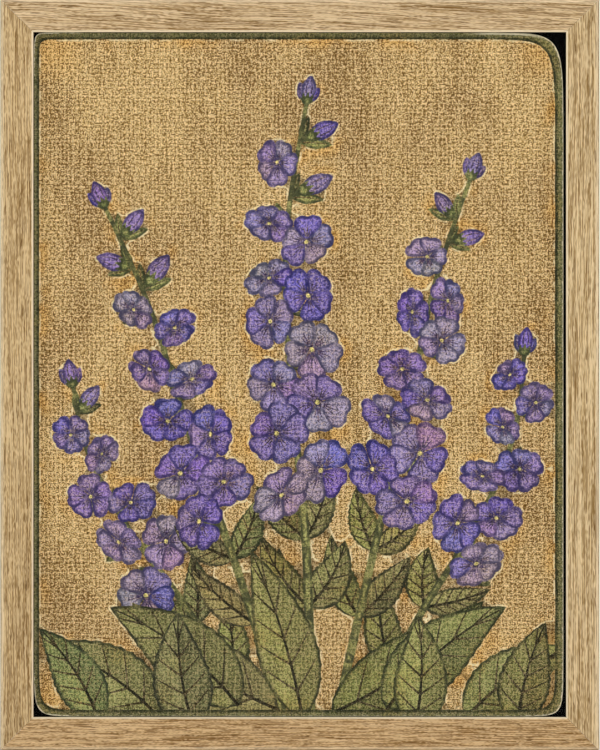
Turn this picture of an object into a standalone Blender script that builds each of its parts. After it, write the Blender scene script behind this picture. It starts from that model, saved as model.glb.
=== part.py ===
# Framed print: a float-mounted picture with rounded corners, behind glass in a mitred oak frame.
# The picture faces -Y, the wall is on the +Y side, and +Z is up.
# The origin is the hanging point: the sawtooth hanger's middle notch, on the plane of the rails' backs.
# All lengths are in metres.

import math

import bmesh
import bpy
from mathutils import Vector

# The standard board that the frame takes, and the oak moulding
BOARD_W = 0.2794
BOARD_H = 0.3556
LIP_OVERLAP = 0.00635
FACE_W = 0.0165
FRAME_DEPTH = 0.016
LIP_T = 0.006
RABBET_PLAY = 0.0008
OUTER_ARRIS_R = 0.001
INNER_ARRIS_R = 0.0006
BACK_ARRIS_R = 0.0005
ARRIS_STEPS = 5

# Gaps between pieces that rest on each other, and between pieces that are pressed together
CLEAR = 0.0003
TIGHT = 0.0001

# The layers between the lip and the back, front to back
GLASS_T = 0.002
SHEET_T = 0.0004
PICTURE_BOARD_T = 0.0016
MOUNT_T = 0.0015
BACKING_T = 0.003
SPACER_W = 0.005

# The picture's outline: each quarter is a superellipse, and a lower power gives a rounder corner
PICTURE_W = 0.2654
PICTURE_H = 0.3428
PICTURE_SHIFT = (-0.0006, 0.0001)
CORNER_POWERS = {"top_right": 19, "top_left": 73, "bottom_left": 33, "bottom_right": 36}
CORNER_STEPS = 14

# Turn buttons, which hold the backing in, and their screws
BUTTON_T = 0.001
BUTTON_PIVOT_R = 0.0043
BUTTON_TIP_R = 0.003
BUTTON_REACH = 0.0135
BUTTON_EDGE = 0.0002
RIB_LENGTH = 0.0075
RIB_WIDTH = 0.003
RIB_HEIGHT = 0.0006
BUTTON_SPACING_X = 0.140
BUTTON_SPACING_Z = 0.190
SCREW_SHANK_R = 0.0013
SCREW_HEAD_R = 0.0027
SCREW_HEAD_H = 0.0017
SCREW_LENGTH = 0.011
CROWN_SHARE = 0.55
CROWN_STEPS = 5
HEAD_EDGE = 0.0002
POINT_SHARE = 3
RECESS_REACH = 0.56
RECESS_WIDTH = 0.3
RECESS_DEPTH = 0.65

# Sawtooth hanger on the top rail, and its screws
HANGER_LENGTH = 0.046
HANGER_H = 0.008
HANGER_T = 0.0009
HANGER_RISE = 0.002
HANGER_BAR = 0.020
HANGER_RAMP = 0.004
TOOTH_PITCH = 0.003
TOOTH_DEPTH = 0.0013
TOOTH_COUNT = 5
PIN_SPACING = 0.037
PIN_SHANK_R = 0.001
PIN_HEAD_R = 0.0022
PIN_HEAD_H = 0.0014
PIN_LENGTH = 0.009

# Corner nails across the mitres, and wall bumpers at the bottom corners
NAIL_LEG = 0.006
NAIL_T = 0.0008
NAIL_DEPTH = 0.007
NAIL_INSET = 0.0034
BUMPER_R = 0.004
BUMPER_TIP_R = 0.0026
BUMPER_H = 0.0039
BUMPER_SPACING = 0.260

ROUND_STEPS = 20
HOLE_STEPS = 16
NAIL_BEND_STEPS = 3
BUTTON_STEPS = (14, 10)
SHARP_ANGLE = math.radians(35)
CUT_MARGIN = 0.002
WELD = 0.000001
TURN_WELD = 0.00001

# Worked out from the dimensions above
SIGHT_W = BOARD_W - 2 * LIP_OVERLAP
SIGHT_H = BOARD_H - 2 * LIP_OVERLAP
OUTER_W = SIGHT_W + 2 * FACE_W
OUTER_H = SIGHT_H + 2 * FACE_W
LAND_W = FACE_W - LIP_OVERLAP - RABBET_PLAY
TOP_Z = HANGER_H / 2 - TOOTH_DEPTH + LAND_W / 2
CENTRE = Vector((0, 0, TOP_Z - OUTER_H / 2))
HANGER_Z = TOP_Z - LAND_W / 2
GLASS_FRONT = LIP_T - FRAME_DEPTH + CLEAR
GLASS_BACK = GLASS_FRONT + GLASS_T
SHEET_FRONT = GLASS_BACK + CLEAR
PICTURE_BOARD_FRONT = SHEET_FRONT + SHEET_T + TIGHT
MOUNT_FRONT = PICTURE_BOARD_FRONT + PICTURE_BOARD_T + CLEAR
BACKING_FRONT = MOUNT_FRONT + MOUNT_T + CLEAR

# An outline drawn in local X and Y then stands upright: with its local Z to the viewer, or to the wall
TO_VIEWER = (math.pi / 2, 0, 0)
TO_WALL = (math.pi / 2, 0, math.pi)

# Each side of the frame: its turn about Y from the right side, half the opening's span, its outer length
SIDES = {
    "right": (0, SIGHT_W / 2, OUTER_H),
    "bottom": (math.pi / 2, SIGHT_H / 2, OUTER_W),
    "left": (math.pi, SIGHT_W / 2, OUTER_H),
    "top": (-math.pi / 2, SIGHT_H / 2, OUTER_W),
}


def clear_scene():
    for obj in list(bpy.data.objects):
        bpy.data.objects.remove(obj, do_unlink=True)


def new_collection(name):
    collection = bpy.data.collections.new(name)
    bpy.context.scene.collection.children.link(collection)
    return collection


def material(name, colour, roughness, metallic=0.0):
    made = bpy.data.materials.new(name)
    made.use_nodes = True
    shader = made.node_tree.nodes["Principled BSDF"]
    shader.inputs["Base Color"].default_value = (*colour, 1)
    shader.inputs["Roughness"].default_value = roughness
    shader.inputs["Metallic"].default_value = metallic
    return made


def as_part(obj, finish):
    parts.objects.link(obj)
    obj.data.materials.clear()
    obj.data.materials.append(finish)
    return obj


def as_cutter(obj):
    cutters.objects.link(obj)
    obj.hide_render = True
    obj.display_type = "WIRE"
    return obj


def subtract(obj, cutter):
    cut = obj.modifiers.new(cutter.name, "BOOLEAN")
    cut.operation = "DIFFERENCE"
    cut.object = cutter


def bevel(obj, width):
    edges = obj.modifiers.new("edges", "BEVEL")
    edges.width = width
    edges.segments = 1
    edges.limit_method = "ANGLE"
    edges.angle_limit = SHARP_ANGLE


def shade(obj):
    """Smooth shading, with an edge where two faces meet at more than the sharp angle."""
    obj.data.shade_smooth()
    obj.data.set_sharp_from_angle(angle=SHARP_ANGLE)


def arc(centre, radius, start, end, steps):
    """Points on a circle, from one angle to another in degrees."""
    angles = (math.radians(start + (end - start) * i / steps) for i in range(steps + 1))
    return [(centre[0] + radius * math.cos(a), centre[1] + radius * math.sin(a)) for a in angles]


def flat_solid(name, outlines, thickness):
    """A mesh of closed outlines in local X and Y, with a thickness along Z. Inner outlines are holes."""
    curve = bpy.data.curves.new(name, "CURVE")
    curve.dimensions = "2D"
    curve.fill_mode = "BOTH"
    curve.extrude = thickness / 2
    for outline in outlines:
        spline = curve.splines.new("POLY")
        spline.points.add(len(outline) - 1)
        for point, (x, y) in zip(spline.points, outline):
            point.co = (x, y, 0, 1)
        spline.use_cyclic_u = True
    drawn = bpy.data.objects.new(name + "_curve", curve)
    cutters.objects.link(drawn)
    graph = bpy.context.evaluated_depsgraph_get()
    mesh = bpy.data.meshes.new_from_object(drawn.evaluated_get(graph))
    bpy.data.objects.remove(drawn)
    bpy.data.curves.remove(curve)
    faces = bmesh.new()
    faces.from_mesh(mesh)
    bmesh.ops.remove_doubles(faces, verts=faces.verts, dist=WELD)
    bmesh.ops.recalc_face_normals(faces, faces=faces.faces)
    faces.to_mesh(mesh)
    faces.free()
    mesh.name = name
    return bpy.data.objects.new(name, mesh)


def box(name, size, centre):
    """A box with its edges along the axes."""
    faces = bmesh.new()
    bmesh.ops.create_cube(faces, size=1)
    bmesh.ops.scale(faces, vec=size, verts=faces.verts)
    mesh = bpy.data.meshes.new(name)
    faces.to_mesh(mesh)
    faces.free()
    obj = bpy.data.objects.new(name, mesh)
    obj.location = centre
    return obj


def hole_cutter(name, radius, centre, depth):
    """A round cutter from just behind the rails' backs to a depth inside them."""
    faces = bmesh.new()
    length = depth + CUT_MARGIN
    bmesh.ops.create_cone(
        faces, cap_ends=True, segments=HOLE_STEPS, radius1=radius, radius2=radius, depth=length
    )
    mesh = bpy.data.meshes.new(name)
    faces.to_mesh(mesh)
    faces.free()
    obj = bpy.data.objects.new(name, mesh)
    obj.rotation_euler = TO_WALL
    obj.location = (centre.x, CUT_MARGIN - length / 2, centre.z)
    return as_cutter(obj)


def turned(name, profile, steps):
    """A solid turned about local Z. The profile runs down its outer side, from axis to axis."""
    mesh = bpy.data.meshes.new(name)
    points = [(radius, 0, height) for radius, height in profile]
    mesh.from_pydata(points, [(i, i + 1) for i in range(len(points) - 1)], [])
    obj = bpy.data.objects.new(name, mesh)
    screw = obj.modifiers.new("turn", "SCREW")
    screw.axis = "Z"
    screw.steps = steps
    screw.render_steps = steps
    screw.use_merge_vertices = True
    screw.merge_threshold = TURN_WELD
    return obj


def outward(side, distance):
    """The point this far from the frame's centre towards a side, in the plane of the rails' backs."""
    turn = SIDES[side][0]
    return CENTRE + Vector((math.cos(turn), 0, -math.sin(turn))) * distance


def on_land(side, along):
    """A point on the middle of a rail's back, this far along it from its centre, to the right or up."""
    point = outward(side, SIDES[side][1] + FACE_W - LAND_W / 2)
    return point + (Vector((along, 0, 0)) if side in ("top", "bottom") else Vector((0, 0, along)))


def rail_profile():
    """The moulding's section: X from the sight edge outwards, Y from the front to the back."""
    front = -FRAME_DEPTH
    wall_x = FACE_W - LAND_W
    return [
        *arc((INNER_ARRIS_R, front + INNER_ARRIS_R), INNER_ARRIS_R, 180, 270, ARRIS_STEPS),
        *arc((FACE_W - OUTER_ARRIS_R, front + OUTER_ARRIS_R), OUTER_ARRIS_R, 270, 360, ARRIS_STEPS),
        *arc((FACE_W - BACK_ARRIS_R, -BACK_ARRIS_R), BACK_ARRIS_R, 0, 90, ARRIS_STEPS),
        (wall_x, 0),
        (wall_x, front + LIP_T),
        (0, front + LIP_T),
    ]


def mitre_cutter(name, corner, normal):
    """A block whose face stands on a mitre, half the joint's gap inside the rail that it trims."""
    size = 4 * FACE_W
    obj = box(name, (size, size, size), corner + normal * (size - TIGHT) / 2)
    obj.rotation_euler = (0, math.pi / 4, 0)
    return as_cutter(obj)


def nail_outline(thickness, leg):
    """A corner nail seen from the back: two legs at a right angle, bent round its apex at the origin."""
    half = thickness / 2
    bend = arc((0, 0), half, 0, 90, NAIL_BEND_STEPS)
    return [(half, -leg), *bend, (-leg, half), (-leg, -half), (-half, -half), (-half, -leg)]


def make_rail(side):
    turn, half_span, length = SIDES[side]
    rail = flat_solid("rail_" + side, [rail_profile()], length + 2 * CUT_MARGIN)
    rail.rotation_euler = (0, turn, 0)
    rail.location = outward(side, half_span)
    shade(rail)
    return as_part(rail, oak)


def cut_mitres(rails):
    """Trims each rail at its two corners, on planes from the sight corner to the outer corner."""
    for x_side, x_sign in (("right", 1), ("left", -1)):
        for z_side, z_sign in (("top", 1), ("bottom", -1)):
            corner = CENTRE + Vector((x_sign * SIGHT_W / 2, -FRAME_DEPTH / 2, z_sign * SIGHT_H / 2))
            across = Vector((x_sign, 0, -z_sign)).normalized()
            name = z_side + "_" + x_side
            subtract(rails[z_side], mitre_cutter("mitre_" + z_side + "_of_" + name, corner, across))
            subtract(rails[x_side], mitre_cutter("mitre_" + x_side + "_of_" + name, corner, -across))


def make_corner_nails(rails):
    """One V-shaped nail sunk across each mitre from the back, flush with the rails."""
    corners = (("top", "right", 0), ("bottom", "right", 1), ("bottom", "left", 2), ("top", "left", 3))
    for z_side, x_side, quarter in corners:
        reach_x = OUTER_W / 2 - NAIL_INSET
        reach_z = OUTER_H / 2 - NAIL_INSET
        place = CENTRE + Vector((
            reach_x if x_side == "right" else -reach_x,
            -TIGHT - NAIL_DEPTH / 2,
            reach_z if z_side == "top" else -reach_z,
        ))
        name = "corner_nail_" + z_side + "_" + x_side
        nail = as_part(flat_solid(name, [nail_outline(NAIL_T, NAIL_LEG)], NAIL_DEPTH), steel)
        slot = as_cutter(
            flat_solid(
                name + "_slot",
                [nail_outline(NAIL_T + 2 * TIGHT, NAIL_LEG + TIGHT)],
                NAIL_DEPTH + 2 * CUT_MARGIN,
            )
        )
        for obj in (nail, slot):
            obj.rotation_euler = (math.pi / 2, quarter * math.pi / 2, 0)
            obj.location = place
        slot.location.y = -TIGHT - NAIL_DEPTH - TIGHT + NAIL_DEPTH / 2 + CUT_MARGIN
        subtract(rails[z_side], slot)
        subtract(rails[x_side], slot)


def board(name, thickness, front, finish):
    """A board of the frame's standard size, with its front face at this Y."""
    centre = CENTRE + Vector((0, front + thickness / 2, 0))
    return as_part(box(name, (BOARD_W, thickness, BOARD_H), centre), finish)


def picture_outline():
    """The picture's outline: a quarter of a superellipse for each corner, counter-clockwise."""
    quarters = (
        ("top_right", 1, 1), ("top_left", -1, 1),
        ("bottom_left", -1, -1), ("bottom_right", 1, -1),
    )
    points = []
    for corner, x_sign, y_sign in quarters:
        power = 2 / CORNER_POWERS[corner]
        angles = [math.pi / 2 * (i + 0.5) / CORNER_STEPS for i in range(CORNER_STEPS)]
        if x_sign != y_sign:
            angles.reverse()
        for angle in angles:
            x = x_sign * PICTURE_W / 2 * math.cos(angle) ** power
            y = y_sign * PICTURE_H / 2 * math.sin(angle) ** power
            points.append((x, y))
    return points


def picture_layer(name, thickness, front, finish):
    layer = flat_solid(name, [picture_outline()], thickness)
    layer.rotation_euler = TO_VIEWER
    shift_x, shift_z = PICTURE_SHIFT
    layer.location = CENTRE + Vector((shift_x, front + thickness / 2, shift_z))
    return as_part(layer, finish)


def make_spacers():
    """Black strips under the lip, which keep the glass off the mount round the picture."""
    thickness = MOUNT_FRONT - GLASS_BACK - 2 * CLEAR
    y = GLASS_BACK + CLEAR + thickness / 2
    for side, sign in (("top", 1), ("bottom", -1)):
        centre = CENTRE + Vector((0, y, sign * (BOARD_H - SPACER_W) / 2))
        as_part(box("spacer_" + side, (BOARD_W, thickness, SPACER_W), centre), black_plastic)
    for side, sign in (("right", 1), ("left", -1)):
        centre = CENTRE + Vector((sign * (BOARD_W - SPACER_W) / 2, y, 0))
        height = BOARD_H - 2 * (SPACER_W + CLEAR)
        as_part(box("spacer_" + side, (SPACER_W, thickness, height), centre), black_plastic)


def button_outline():
    """Two circles joined by their common tangents: the pivot end at the origin, the tip along +X."""
    lean = math.degrees(math.acos((BUTTON_PIVOT_R - BUTTON_TIP_R) / BUTTON_REACH))
    pivot_end = arc((0, 0), BUTTON_PIVOT_R, lean, 360 - lean, BUTTON_STEPS[0])
    tip = arc((BUTTON_REACH, 0), BUTTON_TIP_R, -lean, lean, BUTTON_STEPS[1])
    return pivot_end + tip


def add_rib(button):
    """A pressed rib along the arm, which stiffens it."""
    faces = bmesh.new()
    bmesh.ops.create_uvsphere(faces, u_segments=16, v_segments=8, radius=1)
    size = (RIB_LENGTH / 2, RIB_WIDTH / 2, RIB_HEIGHT)
    bmesh.ops.scale(faces, vec=size, verts=faces.verts)
    middle = (BUTTON_PIVOT_R + BUTTON_REACH) / 2 + BUTTON_TIP_R / 4
    bmesh.ops.translate(faces, vec=(middle, 0, BUTTON_T / 2), verts=faces.verts)
    mesh = bpy.data.meshes.new(button.name + "_rib")
    faces.to_mesh(mesh)
    faces.free()
    rib = as_cutter(bpy.data.objects.new(mesh.name, mesh))
    rib.parent = button
    union = button.modifiers.new("rib", "BOOLEAN")
    union.operation = "UNION"
    union.object = rib


def make_button(name, pivot, turn):
    """A turn button that starts pointing inwards over the backing, on its screw's axis."""
    hole = arc((0, 0), SCREW_SHANK_R + CLEAR, 0, 360 - 360 / HOLE_STEPS, HOLE_STEPS - 1)
    button = flat_solid(name, [button_outline(), hole], BUTTON_T)
    button.rotation_euler = (math.pi / 2, turn, math.pi)
    button.location = pivot + Vector((0, CLEAR + BUTTON_T / 2, 0))
    shade(button)
    bevel(button, BUTTON_EDGE)
    add_rib(button)
    return as_part(button, zinc)


def pan_head_profile(head_r, head_h, shank_r, length):
    """A pan-head screw, head up, with the underside of its head at height 0."""
    angles = [math.pi / 2 * step / CROWN_STEPS for step in range(CROWN_STEPS + 1)]
    crown_h = CROWN_SHARE * head_h
    crown = [(head_r * math.sin(a), head_h - crown_h * (1 - math.cos(a))) for a in angles]
    return [
        *crown,
        (head_r, HEAD_EDGE),
        (head_r - HEAD_EDGE, 0),
        (shank_r, 0),
        (shank_r, -length + POINT_SHARE * shank_r),
        (0, -length),
    ]


def cross_recess(screw, head_r, head_h):
    """Two crossed slots in the head, for a cross-point driver."""
    depth = RECESS_DEPTH * head_h
    long_side = 2 * RECESS_REACH * head_r
    for index in range(2):
        short_side = RECESS_WIDTH * head_r
        size = (long_side, short_side) if index == 0 else (short_side, long_side)
        place = (0, 0, head_h - depth + (depth + CUT_MARGIN) / 2)
        slot = as_cutter(box(f"{screw.name}_slot_{index + 1}", (*size, depth + CUT_MARGIN), place))
        slot.parent = screw
        subtract(screw, slot)


def make_screw(name, place, under_head, sizes, finish):
    """A screw driven into a rail's back. Its sizes are head radius and height, shank radius and length."""
    head_r, head_h, shank_r, length = sizes
    screw = turned(name, pan_head_profile(head_r, head_h, shank_r, length), HOLE_STEPS)
    screw.rotation_euler = TO_WALL
    screw.location = place + Vector((0, under_head, 0))
    cross_recess(screw, head_r, head_h)
    as_part(screw, finish)


def make_buttons(rails):
    """Two turn buttons with screws on each rail, numbered clockwise from the viewer's top left."""
    spots = [
        ("top", -BUTTON_SPACING_X / 2, 90), ("top", BUTTON_SPACING_X / 2, 90),
        ("right", BUTTON_SPACING_Z / 2, 0), ("right", -BUTTON_SPACING_Z / 2, 0),
        ("bottom", BUTTON_SPACING_X / 2, 270), ("bottom", -BUTTON_SPACING_X / 2, 270),
        ("left", -BUTTON_SPACING_Z / 2, 180), ("left", BUTTON_SPACING_Z / 2, 180),
    ]
    screw_sizes = (SCREW_HEAD_R, SCREW_HEAD_H, SCREW_SHANK_R, SCREW_LENGTH)
    under_head = CLEAR + BUTTON_T + CLEAR
    for number, (side, along, turn) in enumerate(spots, 1):
        pivot = on_land(side, along)
        make_button(f"turn_button_{number}", pivot, math.radians(turn))
        make_screw(f"button_screw_{number}", pivot, under_head, screw_sizes, zinc)
        hole_depth = SCREW_LENGTH - under_head + CLEAR
        subtract(
            rails[side], hole_cutter(f"pilot_{number}", SCREW_SHANK_R + CLEAR, pivot, hole_depth)
        )


def hanger_centreline():
    """The strip's middle line from above, as X and Y: flat ends, two ramps and a raised bar."""
    low = CLEAR + HANGER_T / 2
    high = low + HANGER_RISE
    bar_end = HANGER_BAR / 2
    ramp_end = bar_end + HANGER_RAMP
    half = [(bar_end, high), (ramp_end, low), (HANGER_LENGTH / 2, low)]
    return [(-x, y) for x, y in reversed(half)] + half


def make_hanger(rail):
    """A sawtooth hanger: a bent steel strip whose lower edge hooks over a wall nail."""
    line = hanger_centreline()
    mesh = bpy.data.meshes.new("hanger")
    lower = [(x, y, -HANGER_H / 2) for x, y in line]
    upper = [(x, y, HANGER_H / 2) for x, y in line]
    count = len(line)
    strips = [(i, i + 1, count + i + 1, count + i) for i in range(count - 1)]
    mesh.from_pydata(lower + upper, [], strips)
    hanger = bpy.data.objects.new("hanger", mesh)
    hanger.location = (0, 0, HANGER_Z)
    shell = hanger.modifiers.new("thickness", "SOLIDIFY")
    shell.thickness = HANGER_T
    shell.offset = 0
    shell.use_even_offset = True
    side = 2 * TOOTH_DEPTH
    for index in range(TOOTH_COUNT):
        x = (index - (TOOTH_COUNT - 1) / 2) * TOOTH_PITCH
        notch = box(f"notch_{index + 1}", (side, side, side), (x, HANGER_RISE, -side / math.sqrt(2)))
        notch.rotation_euler = (0, math.pi / 4, 0)
        subtract(hanger, as_cutter(notch))
    pin_sizes = (PIN_HEAD_R, PIN_HEAD_H, PIN_SHANK_R, PIN_LENGTH)
    under_head = CLEAR + HANGER_T + CLEAR
    for name, x in (("left", -PIN_SPACING / 2), ("right", PIN_SPACING / 2)):
        place = Vector((x, 0, HANGER_Z))
        hole_depth = PIN_LENGTH - under_head + CLEAR
        hole = hole_cutter("hanger_pilot_" + name, PIN_SHANK_R + CLEAR, place, hole_depth)
        subtract(hanger, hole)
        subtract(rail, hole)
        make_screw("hanger_screw_" + name, place, under_head, pin_sizes, zinc)
    as_part(hanger, zinc)


def make_bumpers():
    """Two soft domes with flat tips, which keep the frame's bottom edge off the wall."""
    shoulder_r = BUMPER_R - BUMPER_TIP_R
    shoulder = arc((BUMPER_TIP_R, BUMPER_H - shoulder_r), shoulder_r, 90, 0, ARRIS_STEPS)
    profile = [(0, BUMPER_H), *shoulder, (BUMPER_R, 0), (0, 0)]
    for name, sign in (("left", -1), ("right", 1)):
        bumper = turned("bumper_" + name, profile, ROUND_STEPS)
        bumper.rotation_euler = TO_WALL
        bumper.location = on_land("bottom", sign * BUMPER_SPACING / 2) + Vector((0, TIGHT, 0))
        as_part(bumper, clear_rubber)


clear_scene()
parts = new_collection("framed_print")
cutters = new_collection("cutters")

oak = material("oak", (0.60, 0.44, 0.26), 0.6)
glass = material("picture_glass", (0.92, 0.95, 0.94), 0.05)
printed_sheet = material("printed_sheet", (0.50, 0.36, 0.17), 0.9)
pale_board = material("pale_board", (0.72, 0.66, 0.52), 0.9)
black_board = material("black_board", (0.01, 0.01, 0.012), 0.85)
black_plastic = material("black_plastic", (0.012, 0.012, 0.012), 0.6)
fibreboard = material("fibreboard", (0.32, 0.20, 0.11), 0.8)
steel = material("steel", (0.45, 0.45, 0.46), 0.4, 1.0)
zinc = material("zinc_plate", (0.62, 0.63, 0.65), 0.35, 1.0)
clear_rubber = material("clear_rubber", (0.75, 0.76, 0.74), 0.4)

frame_rails = {side: make_rail(side) for side in SIDES}
cut_mitres(frame_rails)
make_corner_nails(frame_rails)
board("glazing", GLASS_T, GLASS_FRONT, glass)
picture_layer("picture_sheet", SHEET_T, SHEET_FRONT, printed_sheet)
picture_layer("picture_board", PICTURE_BOARD_T, PICTURE_BOARD_FRONT, pale_board)
make_spacers()
board("mount_board", MOUNT_T, MOUNT_FRONT, black_board)
board("backing_board", BACKING_T, BACKING_FRONT, fibreboard)
make_buttons(frame_rails)
make_hanger(frame_rails["top"])
make_bumpers()
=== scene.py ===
# The looks of the framed print: oak, glass, boards and fittings, and a generic flower print of its own.
# The frame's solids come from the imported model.
# Lengths are in metres, except in the picture and the materials, where they are in millimetres.

import math
import random

import bpy
import numpy as np
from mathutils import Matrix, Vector, kdtree, noise
from mathutils.geometry import delaunay_2d_cdt


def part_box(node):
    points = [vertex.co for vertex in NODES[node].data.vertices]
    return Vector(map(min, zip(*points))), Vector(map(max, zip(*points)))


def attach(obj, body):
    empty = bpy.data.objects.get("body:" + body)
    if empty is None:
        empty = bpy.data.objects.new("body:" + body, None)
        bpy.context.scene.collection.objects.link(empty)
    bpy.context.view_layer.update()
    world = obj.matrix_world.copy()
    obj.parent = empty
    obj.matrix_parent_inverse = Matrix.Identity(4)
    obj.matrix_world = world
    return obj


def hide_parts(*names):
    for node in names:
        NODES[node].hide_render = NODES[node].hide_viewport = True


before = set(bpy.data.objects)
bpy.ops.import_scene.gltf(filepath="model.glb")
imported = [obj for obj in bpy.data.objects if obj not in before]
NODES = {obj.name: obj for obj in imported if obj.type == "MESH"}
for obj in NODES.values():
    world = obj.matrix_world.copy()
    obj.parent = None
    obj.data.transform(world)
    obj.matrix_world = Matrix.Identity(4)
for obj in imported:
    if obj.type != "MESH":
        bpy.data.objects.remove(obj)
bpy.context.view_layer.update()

MM = 0.001
RAILS = ("rail_top", "rail_bottom", "rail_left", "rail_right")
FRAME_LOW = Vector((min(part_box(n)[0].x for n in RAILS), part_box("rail_top")[0].y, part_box("rail_bottom")[0].z))
FRAME_HIGH = Vector((max(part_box(n)[1].x for n in RAILS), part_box("rail_top")[1].y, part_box("rail_top")[1].z))
CENTRE = (FRAME_LOW + FRAME_HIGH) / 2
FACE_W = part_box("rail_left")[1].x - FRAME_LOW.x

# The photograph's view: straight on, from far off, with the frame a little up and left in the picture
IMAGE_H = 750
MM_A_PIXEL = 0.5003
CAMERA_DISTANCE = 6.0
CAMERA_SHIFT_X = 0.000125
CAMERA_SHIFT_Z = -0.0002
SENSOR = 36

# Light
AMBIENT = 0.42
WATTS = {"front": 36, "left": 9, "right": 6, "behind": 34, "behind_left": 12}
BACKDROP = (245, 245, 228)
FLOOR_COLOUR = (236, 233, 226)
FLOOR_SIZE = 7.0
# How far from the middle, in millimetres, the floor starts and ends to fade into the backdrop
FLOOR_FADE = (900.0, 2000.0)


# Colours and node trees

def linear(red, green, blue):
    """A colour given in 0 to 255, as the linear RGBA that nodes take."""
    def one(value):
        share = value / 255
        return share / 12.92 if share <= 0.04045 else ((share + 0.055) / 1.055) ** 2.4
    return (one(red), one(green), one(blue), 1.0)


class Tree:
    """One material's node tree, built with short calls."""

    def __init__(self, name):
        self.material = bpy.data.materials.new(name)
        self.material.use_nodes = True
        self.tree = self.material.node_tree
        self.tree.nodes.clear()
        self.out = self.node("OutputMaterial")

    def node(self, kind, inputs=None, **settings):
        made = self.tree.nodes.new("ShaderNode" + kind)
        for key, setting in settings.items():
            setattr(made, key, setting)
        for key, source in (inputs or {}).items():
            if isinstance(source, bpy.types.NodeSocket):
                self.tree.links.new(source, made.inputs[key])
            else:
                made.inputs[key].default_value = source
        return made

    def math(self, operation, a, b=0.0):
        return self.node("Math", {0: a, 1: b}, operation=operation).outputs[0]

    def add(self, *terms):
        total = terms[0]
        for term in terms[1:]:
            total = self.math("ADD", total, term)
        return total

    def times(self, a, b):
        return self.math("MULTIPLY", a, b)

    def step(self, value, low, high, to_low=0.0, to_high=1.0):
        """A smooth step from to_low at low to to_high at high."""
        inputs = {"Value": value, "From Min": low, "From Max": high, "To Min": to_low, "To Max": to_high}
        return self.node("MapRange", inputs, interpolation_type="SMOOTHSTEP").outputs[0]

    def mix(self, share, a, b, blend="MIX"):
        return self.node("Mix", {0: share, 6: a, 7: b}, data_type="RGBA", blend_type=blend).outputs[2]

    def grey(self, value):
        return self.node("CombineColor", {0: value, 1: value, 2: value}).outputs[0]

    def millimetres(self):
        """Object coordinates in millimetres, as three sockets."""
        place = self.node("TexCoord").outputs["Object"]
        scaled = self.node("VectorMath", {0: place, 3: 1 / MM}, operation="SCALE").outputs[0]
        return self.node("SeparateXYZ", {0: scaled}).outputs

    def vector(self, x, y, z=0.0):
        return self.node("CombineXYZ", {0: x, 1: y, 2: z}).outputs[0]

    def noise(self, vector, detail=2.0, rough=0.5):
        inputs = {"Vector": vector, "Detail": detail, "Roughness": rough, "Scale": 1.0}
        return self.node("TexNoise", inputs).outputs[0]

    def stretched(self, x, y, z, fx, fy, fz, offset=0.0, **noise_settings):
        """Noise with its own frequency along each of three coordinates, in cycles a millimetre."""
        place = self.vector(self.add(self.times(x, fx), offset), self.times(y, fy), self.times(z, fz))
        return self.noise(place, **noise_settings)

    def specks(self, vector, scale, jitter):
        """The distance to the nearest of scattered points, one to each cell of a grid."""
        inputs = {"Vector": vector, "Scale": scale, "Randomness": jitter}
        return self.node("TexVoronoi", inputs, voronoi_dimensions="2D").outputs["Distance"]

    def bump(self, height, distance, strength=1.0):
        return self.node("Bump", {"Height": height, "Distance": distance, "Strength": strength}).outputs[0]

    def surface(self, shader):
        self.tree.links.new(shader, self.out.inputs["Surface"])
        return self.material

    def principled(self, **inputs):
        names = {name.replace("_", " "): value for name, value in inputs.items()}
        return self.surface(self.node("BsdfPrincipled", names).outputs[0])


# Oak

OAK_LIGHT = linear(236, 210, 168)
OAK_MID = linear(195, 164, 115)
OAK_STREAK = linear(128, 94, 40)
OAK_PORE = linear(92, 62, 22)
# The colour of the painted highlight along the arrises, partly the paler sanded wood
OAK_ARRIS_HIGHLIGHT = linear(240, 222, 190)
# The colour of the painted shade line along the outer front edge
OAK_EDGE_SHADE = linear(140, 118, 72)


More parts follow.
